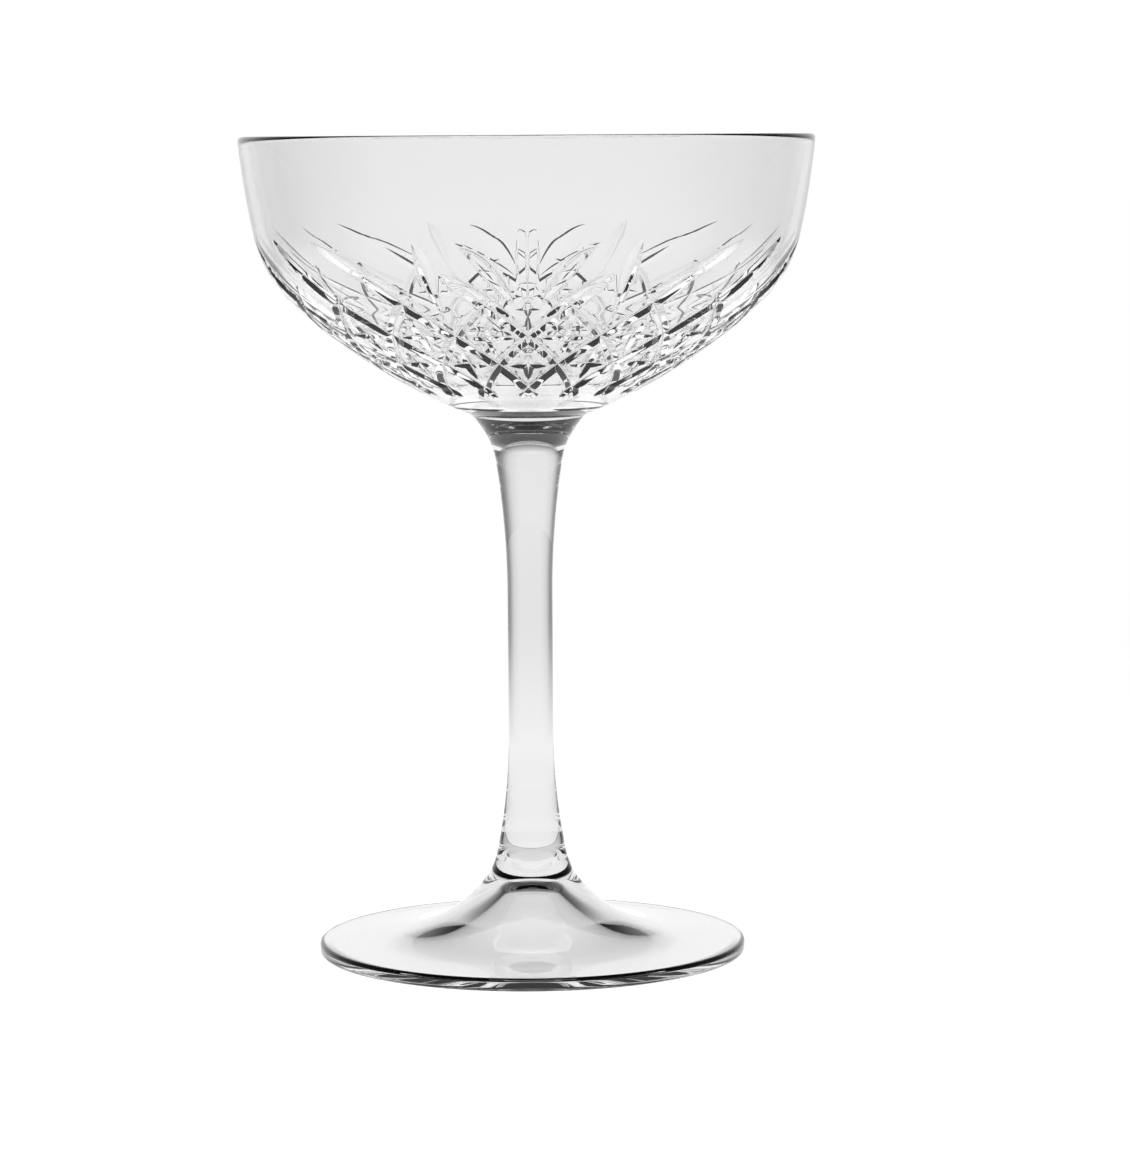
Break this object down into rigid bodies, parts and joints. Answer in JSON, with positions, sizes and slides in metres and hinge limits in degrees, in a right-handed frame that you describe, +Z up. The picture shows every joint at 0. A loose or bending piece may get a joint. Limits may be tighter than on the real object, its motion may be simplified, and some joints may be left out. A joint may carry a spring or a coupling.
{
  "type": "coupe glass",
  "caption": "Clear stemmed coupe glass: wide shallow bowl with a cut diamond lattice and fans of leaves, slender waisted stem and round foot, hollow underneath.",
  "frame": {"origin": "middle of the flat ring that the foot stands on, at table height", "axes": "+Z runs up the stem to the rim; -Y faces the viewer of the picture; +X is to that viewer's right"},
  "size_m": [0.096, 0.096, 0.1375],
  "materials": {
    "bowl_glass": "clear, polished, cut outside",
    "stem_glass": "clear, fire polished",
    "foot_glass": "clear, fire polished"
  },
  "bodies": {
    "root": {"bowl": "bowl_glass", "stem": "stem_glass", "foot": "foot_glass"}
  },
  "joints": []
}
